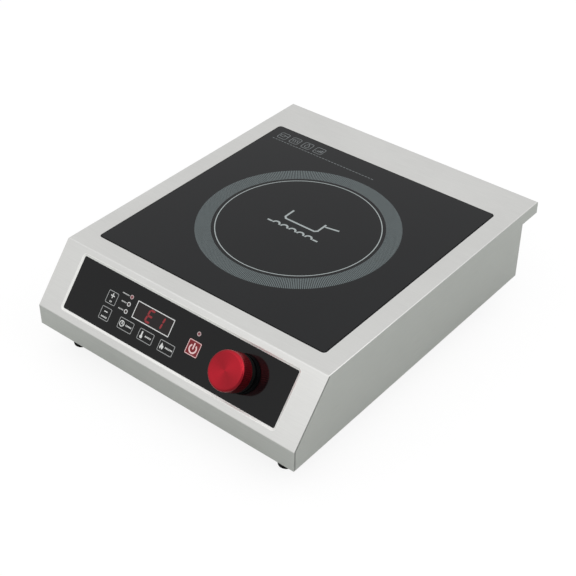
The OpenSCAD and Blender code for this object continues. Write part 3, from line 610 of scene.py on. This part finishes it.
steel = brushed_steel("brushed_stainless", STEEL_TONE, 0.34)
# The rolled edge is the same steel, paler and less metallic: a painted highlight along the recess
lip_highlight_steel = brushed_steel("pressed_edge_painted_highlight", LIP_HIGHLIGHT_TONE, 0.42, metallic=0.45)
plated = brushed_steel("plated_sheet", PLATED_TONE, 0.42, fine=0.5)
glass = polished_glass("ceramic_glass", GLASS_TONE)
film = glossy_film("panel_film", PANEL_TONE)
red_film = glossy_film("red_key_film", KEY_RED)
window = glossy_film("smoked_window", rgba(0.013, 0.009, 0.009), 0.12)
ring_ink = ink("ring_ink", RING_INK)
mark_ink = ink("mark_ink", MARK_INK)
faint_ink = ink("faint_ink", FAINT_INK)
panel_ink = ink("panel_ink", PANEL_INK)
line_ink = ink("line_ink", LINE_INK)
pink_ink = ink("pink_ink", PINK_INK)
led_ring_ink = ink("led_ring_ink", LED_RING_INK)
lit_red = glowing("lit_digit", DIGIT_RED, 0.32)
lit_led = glowing("lit_led", LED_RED, 0.4)
knob_metal = turned_metal("knob_red", KNOB_RED, KNOB_AXIS, 0.3)
black_plastic = moulded("black_plastic", rgba(0.005, 0.005, 0.005), 0.42, shine=0.3)
rubber = moulded("black_rubber", rgba(0.006, 0.006, 0.006), 0.72, grain=1500.0, strength=0.4, shine=0.2)

SLOT_LOOKS = {
    "brushed_stainless": steel,
    "plated_sheet": plated,
    "zinc_fasteners": moulded("zinc_plating", rgba(0.62, 0.63, 0.62), 0.3, metallic=1.0, strength=0.1),
    "brass_screw": moulded("brass", rgba(0.78, 0.55, 0.22), 0.3, metallic=1.0, strength=0.1),
    "ceramic_glass": glass,
    "silicone_seal": moulded("silicone_seal", rgba(0.003, 0.003, 0.003), 0.6, shine=0.15),
    "panel_black": film,
    "key_red": red_film,
    "smoked_window": window,
    "display_black": moulded("display_black", rgba(0.02, 0.02, 0.02), 0.5),
    "led_lens": moulded("led_lens", rgba(0.03, 0.012, 0.013), 0.2, strength=0.1),
    "knob_red": knob_metal,
    "knob_black": black_plastic,
    "shaft_steel": moulded("shaft_steel", rgba(0.55, 0.55, 0.55), 0.3, metallic=1.0, strength=0.1),
    "black_rubber": rubber,
    "black_nylon": moulded("black_nylon", rgba(0.03, 0.03, 0.03), 0.5),
    "white_nylon": moulded("white_nylon", rgba(0.72, 0.72, 0.68), 0.45),
    "circuit_board": circuit_board("circuit_board", rgba(0.02, 0.16, 0.06)),
    "copper": wound_copper("wound_copper", rgba(0.72, 0.33, 0.14)),
    "ferrite": moulded("ferrite", rgba(0.05, 0.05, 0.055), 0.55, grain=900.0, strength=0.5),
    "aluminium": moulded("mill_aluminium", rgba(0.74, 0.75, 0.76), 0.38, metallic=1.0, strength=0.15),
    "mica": moulded("mica_sheet", rgba(0.55, 0.46, 0.32), 0.5, grain=260.0, mottle=0.25),
    "sensor_ceramic": moulded("sensor_ceramic", rgba(0.62, 0.58, 0.5), 0.6),
    "capacitor_yellow": moulded("capacitor_shell", rgba(0.70, 0.42, 0.05), 0.35),
    "wire_grey": moulded("flat_cable", rgba(0.42, 0.42, 0.43), 0.5),
    "wire_blue": moulded("wire_sleeve", rgba(0.05, 0.12, 0.38), 0.45),
}


def dress_cad_nodes():
    """Every CAD node takes the look of its slot in the record."""
    for part in frame["record"]["subparts"]:
        materials = NODES[part["node"]].data.materials
        materials.clear()
        materials.append(SLOT_LOOKS[part["material_slot"]])


# ---------------------------------------------------------------- body and glass


# The recess round the panel: its border and corner radius, and how deep the panel lies in it
RECESS_BORDER = 2.4
RECESS_RADIUS = 4.0
RECESS_CORNER_STEPS = 12
PANEL_DEPTH = -(KNOB_AXIS.inverted() @ PANEL.translation).z / MM

# Section of the pressed edge: distance inwards from the recess's outline, and height above the
# slope. It leaves the slope in a short curve, runs straight down and levels out at the panel.
LIP_PROFILE = (
    (-0.5, 0.01),
    (-0.15, 0.02),
    (0.15, -0.04),
    (0.45, -0.15),
    (1.1, -0.46),
    (1.75, -0.77),
    (1.95, -0.85),
    (2.15, -0.88),
)


def recess_outline(inwards):
    """Outline of the panel's recess, drawn inwards, around the panel's middle."""
    width, length = panel_size("control_overlay")
    border = 2 * (RECESS_BORDER - inwards)
    radius = RECESS_RADIUS - inwards
    return round_box(0, 0, width + border, length + border, radius, RECESS_CORNER_STEPS)


def build_recess_lip():
    """Rolled edge of the pressed recess: the sheet curves down to the panel."""
    rows = [[(x, y, h + PANEL_DEPTH) for x, y in recess_outline(inwards)] for inwards, h in LIP_PROFILE]
    count = len(rows[0])
    vertices = [PANEL @ (Vector(point) * MM) for row in rows for point in row]
    faces = []
    for k in range(len(rows) - 1):
        near, far = k * count, (k + 1) * count
        for i in range(count):
            j = (i + 1) % count
            faces.append([near + i, near + j, far + j, far + i])
    lip = make_object("recess_lip", vertices, faces, smooth=True)
    # The paler steel paints a highlight along the rolled edge
    finished(lip, "housing", lip_highlight_steel)


EDGE_ROUNDING = 0.4
SCREW_ROUNDING = 0.3


def finish_body():
    """Softens the edges of the CAD nodes of the body and adds the recess's rolled edge."""
    for name in ("top_cover", "base_plate", "rear_panel"):
        smooth_bends(NODES[name])
    build_recess_lip()
    soften(NODES["glass_plate"], EDGE_ROUNDING, segments=3)
    soften(NODES["feet"], EDGE_ROUNDING)
    soften(NODES["cord_bushing"], EDGE_ROUNDING)
    for name in ("base_screws", "rear_screws", "foot_screws"):
        soften(NODES[name], SCREW_ROUNDING)


# ---------------------------------------------------------------- prints on the glass


RING_OUTER = 105.5
RING_INNER = 89.0
RING_TICKS = 360
TICK_COVER = 0.55
CIRCLE_R = 85.5
CIRCLE_LINE = 1.0
COIL_SIGN_LINE = 2.1
COIL_LOOP_R = 5.0
SMALL_SIGN_LINE = 0.8
SIGN_FRAME = 12.5
SIGN_FRAME_CORNER = 2.5
SIGN_PITCH = 17.0
# The first small sign, from the middle of the cooking ring
USE_SIGNS_X = -125
USE_SIGNS_Y = 129


def radial_ticks(inner, outer, count, cover):
    """Short radial lines that fill a ring; cover is the share of the circle they take."""
    half = 180 * cover / count
    ticks = []
    for i in range(count):
        middle = 360 * i / count
        near = arc(0, 0, inner, middle - half, middle + half, 1)
        far = arc(0, 0, outer, middle - half, middle + half, 1)
        ticks.append([near[0], far[0], far[1], near[1]])
    return ticks


def coil_sign():
    """Plain sign of a pan over a coil of five loops."""
    line = COIL_SIGN_LINE
    pitch = 2 * COIL_LOOP_R + 0.4
    faces = []
    for i in range(5):
        faces += ring((i - 2) * pitch, -11, COIL_LOOP_R, line, 0, 180, 20)
    for side in (-1, 1):
        faces.append(round_box(side * (2.5 * pitch + 3.2), -10, 6, line, 0.4))
    pan = [(-21, 19), (-21, 5), (-18.5, 2.5), (18.5, 2.5), (21, 5), (21, 19)]
    handle = [(22.4, 15.5), (38, 18.5)]
    return faces + stroke(pan, line) + stroke(handle, line)


def pan_sign(x, y):
    """A pan from the side, with its handle on the right."""
    return box_line(x - 1.2, y, 6, 4.4, 1.2, 0.7) + [round_box(x + 3.6, y + 1.1, 3.8, 0.9, 0.3)]


def steam_sign(x, y):
    """Three waves that rise side by side."""
    faces = []
    for offset in (-3, 0, 3):
        wave = [(x + offset + 0.8 * math.sin(i * 0.9), y - 3.4 + i * 0.85) for i in range(9)]
        faces += stroke(wave, SMALL_SIGN_LINE)
    return faces


def drop_sign(x, y):
    """Outline of a drop: a round belly drawn up to a point."""
    belly = arc(x, y - 1.1, 2.6, 150, 390, 20)
    return stroke(belly + [(x, y + 4.2)], SMALL_SIGN_LINE, closed=True)


def level_sign(x, y):
    """Four bars, each higher than the one before it."""
    faces = []
    for i in range(4):
        height = 1.5 + 1.5 * i
        faces.append(round_box(x - 3.3 + 2.2 * i, y - 3 + height / 2, 1.3, height, 0.3, 2))
    return faces


def framed_signs():
    """A row of four plain signs for use, each in its own rounded frame."""
    faces = []
    for i, sign in enumerate((pan_sign, steam_sign, drop_sign, level_sign)):
        x = i * SIGN_PITCH
        faces += box_line(x, 0, SIGN_FRAME, SIGN_FRAME, SIGN_FRAME_CORNER, SMALL_SIGN_LINE)
        faces += sign(x, 0)
    return faces


def print_on_glass(name, faces, look, x=0, y=0):
    """A print on the glass, x and y millimetres from the middle of the cooking ring."""
    place = ZONE @ Matrix.Translation((x * MM, y * MM, 0))
    printed(name, faces, place, "housing", look)


def print_glass():
    print_on_glass("ring_ticks", radial_ticks(RING_INNER, RING_OUTER, RING_TICKS, TICK_COVER), ring_ink)
    print_on_glass("ring_line", ring(0, 0, CIRCLE_R, CIRCLE_LINE, steps=180), mark_ink)
    print_on_glass("coil_sign", coil_sign(), mark_ink)
    print_on_glass("use_signs", framed_signs(), faint_ink, USE_SIGNS_X, USE_SIGNS_Y)
    rule = bars(62, -10, 140, 0.9, count=34, gap=1.2)
    print_on_glass("dashed_rule", rule, faint_ink, USE_SIGNS_X, USE_SIGNS_Y)


# ---------------------------------------------------------------- prints on the panel


KEY_INSET = 0.15
KEY_LINE = 0.65
KEY_CORNER = 1.4
CAPTION_HEIGHT = 1.6
CAPTION_PITCH = 1.6
CAPTION_GAP = 0.6


def caption(x, y, letters):
    """Bars that stand for the letters of a key's caption."""
    width = letters * CAPTION_PITCH - CAPTION_GAP
    return bars(x, y, width, CAPTION_HEIGHT, letters, CAPTION_GAP)


def print_key(key, faces, sign_look=panel_ink, border_look=line_ink):
    """Border and signs of one key; they ride on the key."""
    place = on_face(key, PANEL)
    width, length = (size - 2 * KEY_INSET for size in panel_size(key))
    border = box_line(0, 0, width, length, KEY_CORNER, KEY_LINE)
    body = key + "_cap"
    printed(key + "_border", border, place, body, border_look)
    printed(key + "_sign", faces, place, body, sign_look)


def plus_sign(x, y, reach, half_line):
    """A plus: one quarter of its outline, turned round four times."""
    outline = []
    quarter = [(reach, -half_line), (reach, half_line), (half_line, half_line)]
    for _ in range(4):
        outline += [(x + px, y + py) for px, py in quarter]
        quarter = [(-py, px) for px, py in quarter]
    return [outline]


def clock_sign(x, y):
    """A round clock face with two hands."""
    face = ring(x, y, 3.1, 0.9)
    hands = stroke([(x, y + 1.8), (x, y), (x + 1.2, y - 0.6)], 0.9)
    return face + hands


def thermometer_sign(x, y):
    """A round bulb with a tube that stands on it."""
    bulb = arc(x, y - 2.0, 1.7, 120, 420, 18)
    top = arc(x, y + 2.8, 0.85, 0, 180, 8)
    return [bulb + top]


def flame_sign(x, y):
    """Flame: a round base, notched below, that rises to a tip leaning left past a lower one."""
    left = arc(x, y - 0.9, 2.3, 180, 250, 5)
    right = arc(x, y - 0.9, 2.3, 290, 360, 5)
    notch = (x - 0.2, y - 0.8)
    low_tip, dip = (x + 2.0, y + 1.1), (x + 1.1, y + 0.5)
    tip = [(x + 0.4, y + 2.2), (x - 0.5, y + 3.4), (x - 1.3, y + 1.5)]
    return [left + [notch] + right + [low_tip, dip] + tip]


def power_sign():
    """The on/off sign: a ring open at the top, with a bar in the opening."""
    return ring(0, -0.7, 4.8, 1.5, 125, 415, 40) + [round_box(0, 2.0, 1.5, 6.4, 0.6)]


DIGIT_WIDTH = 6.4
DIGIT_HALF_HEIGHT = 6.0
DIGIT_LINE = 2.1
DIGIT_SLANT = 0.13
SEGMENT_GAP = 0.3


def slanted(faces):
    """The faces, leaning to the right as display digits do."""
    return [[(x + y * DIGIT_SLANT, y) for x, y in face] for face in faces]


def segment(x, y, length, upright):
    """One bar of a seven-segment digit, with pointed ends."""
    a, b = length / 2, DIGIT_LINE / 2
    outline = [(-a, 0), (-a + b, b), (a - b, b), (a, 0), (a - b, -b), (-a + b, -b)]
    if upright:
        outline = [(-py, px) for px, py in outline]
    return [(x + px, y + py) for px, py in outline]


def digit(x, y, lit):
    """Seven-segment digit; lit names its segments a to g."""
    side, half = DIGIT_WIDTH / 2, DIGIT_HALF_HEIGHT / 2
    level = {"a": (0, 2 * half), "g": (0, 0), "d": (0, -2 * half)}
    upright = {"b": (side, half), "c": (side, -half), "e": (-side, -half), "f": (-side, half)}
    faces = []
    for name in lit:
        px, py = upright[name] if name in upright else level[name]
        length = DIGIT_HALF_HEIGHT if name in upright else DIGIT_WIDTH
        faces.append(segment(x + px, y + py, length - SEGMENT_GAP, name in upright))
    return faces


def print_display():
    """The window's border and a reading of two characters."""
    place = on_face("display_window", PANEL)
    width, length = panel_size("display_window")
    border = box_line(0, 0, width, length, 0.5, 0.9)
    printed("display_border", border, place, "housing", panel_ink)
    reading = slanted(digit(-4.2, 0.2, "adefg") + digit(9.0, 0.2, "bc"))
    printed("display_digits", reading, place, "housing", lit_red)


LIGHT_RING_R = 2.2
LIGHT_RING_LINE = 0.8
LENS_R = 1.3
STATUS_CAPTION_WIDTHS = (8.6, 6.0, 6.4)
# Two points on lights belong to the same light if they are nearer to each other than this
LIGHT_SPAN = 5.0


def light_places():
    """Middles of the lights on the panel: the three status lights from the top, then the power light."""
    inverse = PANEL.inverted()
    lights = []
    for vertex in NODES["indicator_leds"].data.vertices:
        point = inverse @ vertex.co / MM
        if point.z < -FACE_TOLERANCE / MM:
            continue
        same = [light for light in lights if (light[0] - point).length < LIGHT_SPAN]
        if same:
            same[0].append(point)
        else:
            lights.append([point])
    places = []
    for light in lights:
        xs = [point.x for point in light]
        ys = [point.y for point in light]
        places.append(((min(xs) + max(xs)) / 2, (min(ys) + max(ys)) / 2))
    power = max(places)
    status = sorted((place for place in places if place != power), key=lambda place: -place[1])
    return status + [power]


def print_indicators():
    """A ring round each light; the three status lights have a caption bar on their left."""
    lights = light_places()
    rings = [ring(x, y, LIGHT_RING_R, LIGHT_RING_LINE) for x, y in lights]
    captions = []
    for (x, y), width in zip(lights, STATUS_CAPTION_WIDTHS):
        captions += bars(x - 3.6 - width / 2, y, width, 1.2, round(width / 1.3), 0.6)
    printed("status_light_rings", rings[1] + rings[2], PANEL, "housing", panel_ink)
    printed("power_light_rings", rings[0] + rings[3], PANEL, "housing", led_ring_ink)
    printed("status_captions", captions, PANEL, "housing", panel_ink)
    lenses = disc(*lights[0], LENS_R) + disc(*lights[3], LENS_R)
    printed("lit_lenses", lenses, PANEL, "housing", lit_led)


def print_panel():
    print_key("key_plus", plus_sign(0, 2.2, 2.6, 0.5) + caption(0, -3.7, 2))
    print_key("key_minus", [round_box(0, 2.0, 4.4, 1.0, 0.2)] + caption(0, -3.4, 5))
    print_key("key_timer", clock_sign(-5.0, 0) + caption(3.8, 0, 5))
    print_key("key_temperature", thermometer_sign(-5.2, 0) + caption(3.0, 0, 5))
    print_key("key_power_level", flame_sign(-5.4, -0.2) + caption(3.4, 0, 6))
    print_key("key_on_off", power_sign(), pink_ink, pink_ink)
    print_display()
    print_indicators()


# ---------------------------------------------------------------- knob


KNURL_TEETH = 60
KNURL_DEPTH = 0.36
POINTS_PER_TOOTH = 6
REAR_ROUNDING = 0.9
FRONT_ROUNDING = 2.6
REAR_RIM = 3
SIDE_STEPS = 6
# The knurl stops this short of the roundings
KNURL_MARGIN = 0.1


def knob_profile(radius, low, high):
    """Half section of the cap: a small rear edge, a knurled side and a rounded front edge."""
    side_low, side_high = low + REAR_ROUNDING, high - FRONT_ROUNDING
    side_length = side_high - side_low
    side = [(radius, side_low + side_length * i / SIDE_STEPS) for i in range(1, SIDE_STEPS)]
    face_radius = radius - FRONT_ROUNDING
    return (
        [(0, low), (radius - REAR_ROUNDING - REAR_RIM, low)]
        + arc(radius - REAR_ROUNDING, side_low, REAR_ROUNDING, -90, 0, 3)
        + side
        + arc(face_radius, side_high, FRONT_ROUNDING, 0, 90, 8)
        + [(face_radius * share, high) for share in (0.98, 0.8, 0.6, 0.4, 0.2)]
        + [(0, high)]
    )


def build_knob():
    """Knurled cap, in place of the CAD's plain one and of the same size."""
    inverse = KNOB_AXIS.inverted()
    points = [inverse @ vertex.co / MM for vertex in NODES["knob_cap"].data.vertices]
    radius = max(math.hypot(point.x, point.y) for point in points)
    low = min(point.z for point in points)
    high = max(point.z for point in points)
    knurl_low = low + REAR_ROUNDING + KNURL_MARGIN
    knurl_high = high - FRONT_ROUNDING - KNURL_MARGIN

    def knurled(r, z, angle):
        if not knurl_low < z < knurl_high:
            return r
        return r - KNURL_DEPTH * (0.5 - 0.5 * math.cos(angle * KNURL_TEETH))

    profile = knob_profile(radius, low, high)
    segments = KNURL_TEETH * POINTS_PER_TOOTH
    cap = revolved("knob_cap_knurled", profile, KNOB_AXIS, segments, knurled)
    finished(cap, "knob", knob_metal)
    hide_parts("knob_cap")
    soften(NODES["knob_core"], EDGE_ROUNDING)


# ---------------------------------------------------------------- studio


CAMERA_AZIMUTH = math.radians(39.05)
CAMERA_ELEVATION = math.radians(37.34)
CAMERA_ROLL = math.radians(0.32)
CAMERA_DISTANCE = 1.2798
CAMERA_LENS = 77.6
CAMERA_AIM = Vector((0.0070, -0.01535, 0.0469))


def build_camera():
    back = Vector(
        (
            math.sin(CAMERA_AZIMUTH) * math.cos(CAMERA_ELEVATION),
            -math.cos(CAMERA_AZIMUTH) * math.cos(CAMERA_ELEVATION),
            math.sin(CAMERA_ELEVATION),
        )
    )
    right = Vector((math.cos(CAMERA_AZIMUTH), math.sin(CAMERA_AZIMUTH), 0))
    camera_data = bpy.data.cameras.new("camera")
    camera_data.lens = CAMERA_LENS
    camera = bpy.data.objects.new("camera", camera_data)
    bpy.context.scene.collection.objects.link(camera)
    turn = Matrix.Rotation(CAMERA_ROLL, 4, "Z")
    camera.matrix_world = placed(CAMERA_AIM + back * CAMERA_DISTANCE, right, back) @ turn
    bpy.context.scene.camera = camera


def soft_light(name, position, target, size, power):
    """Round area light that looks from position to target."""
    light = bpy.data.lights.new(name, "AREA")
    light.shape = "DISK"
    light.size = size
    light.energy = power
    lamp = bpy.data.objects.new(name, light)
    direction = (Vector(target) - Vector(position)).normalized()
    lamp.matrix_world = direction.to_track_quat("-Z", "Y").to_matrix().to_4x4()
    lamp.location = position
    bpy.context.scene.collection.objects.link(lamp)


WHITE = rgba(1.0, 1.0, 1.0)
FLOOR_REACH = 6.0
# What the steel sees of the floor, and the share of the floor's white that shadows can darken
FLOOR_REFLECTED = rgba(0.525, 0.545, 0.525)
SHADOW_SHARE = 0.13


def build_floor():
    """Pale floor that looks darker in the steel than it does to the camera."""
    turns = ((-1, -1), (1, -1), (1, 1), (-1, 1))
    corners = [(x * FLOOR_REACH, y * FLOOR_REACH, 0) for x, y in turns]
    floor = make_object("floor", corners, [[0, 1, 2, 3]])
    floor.location.z = cad_box[0].z
    look = Look("floor", Roughness=0.9, Specular_IOR_Level=0.1)
    seen = look.add("LightPath").outputs["Is Camera Ray"]
    look.set(Base_Color=look.blend(seen, FLOOR_REFLECTED, shade(WHITE, SHADOW_SHARE)))
    own_light = look.math("MULTIPLY", seen, 1.0 - SHADOW_SHARE)
    look.set(Emission_Color=WHITE, Emission_Strength=own_light)
    floor.data.materials.append(look.material)


def glow_towards(tree, direction, spread, glow):
    """Brightness that runs from glow[0] to glow[1] as the view turns towards direction.

    spread holds the cosines to that direction between which it does so.
    """
    coordinates = tree.nodes.new("ShaderNodeTexCoord")
    dot = tree.nodes.new("ShaderNodeVectorMath")
    dot.operation = "DOT_PRODUCT"
    dot.inputs[1].default_value = Vector(direction).normalized()
    tree.links.new(coordinates.outputs["Generated"], dot.inputs[0])
    ramp = tree.nodes.new("ShaderNodeMapRange")
    names = ("From Min", "From Max", "To Min", "To Max")
    for name, value in zip(names, spread + glow):
        ramp.inputs[name].default_value = value
    tree.links.new(dot.outputs["Value"], ramp.inputs["Value"])
    return ramp.outputs["Result"]


def build_world():
    """Studio surroundings, plain white to the camera.

    The object sees them bright in front and above, darker behind, with a dark patch low on the
    right.
    """
    world = bpy.data.worlds.new("studio")
    world.use_nodes = True
    bpy.context.scene.world = world
    tree = world.node_tree
    background = tree.nodes["Background"]
    product = tree.nodes.new("ShaderNodeMath")
    product.operation = "MULTIPLY"
    sky = glow_towards(tree, (0.5, -0.3, 0.8), spread=(-0.6, 1.0), glow=(0.72, 1.08))
    patch = glow_towards(tree, (0.8, -0.5, 0.33), spread=(0.80, 0.93), glow=(1.0, 0.25))
    tree.links.new(sky, product.inputs[0])
    tree.links.new(patch, product.inputs[1])
    seen = tree.nodes.new("ShaderNodeMix")
    light_path = tree.nodes.new("ShaderNodeLightPath")
    tree.links.new(light_path.outputs["Is Camera Ray"], seen.inputs["Factor"])
    tree.links.new(product.outputs["Value"], seen.inputs["A"])
    seen.inputs["B"].default_value = 1.0
    tree.links.new(seen.outputs["Result"], background.inputs["Strength"])
    background.inputs["Color"].default_value = WHITE


# Where the studio lights point
BODY = (0, 0, 0.05)
BODY_RIGHT = (0.05, 0, 0.05)
FRONT = (0, -0.15, 0.05)


def build_studio():
    build_camera()
    build_floor()
    build_world()
    soft_light("key_light", (-0.55, -1.25, 1.5), BODY_RIGHT, size=1.1, power=1.5)
    soft_light("fill_light", (1.3, 0.4, 1.4), BODY, size=1.4, power=5)
    soft_light("edge_light", (0.65, -0.74, 1.13), FRONT, size=0.4, power=1.2)
    soft_light("top_light", (-0.8, -0.12, 1.38), FRONT, size=0.5, power=0.35)
    bpy.context.scene.view_settings.view_transform = "Standard"
    bpy.context.scene.view_settings.look = "None"


dress_cad_nodes()
finish_body()
print_glass()
print_panel()
build_knob()
build_studio()
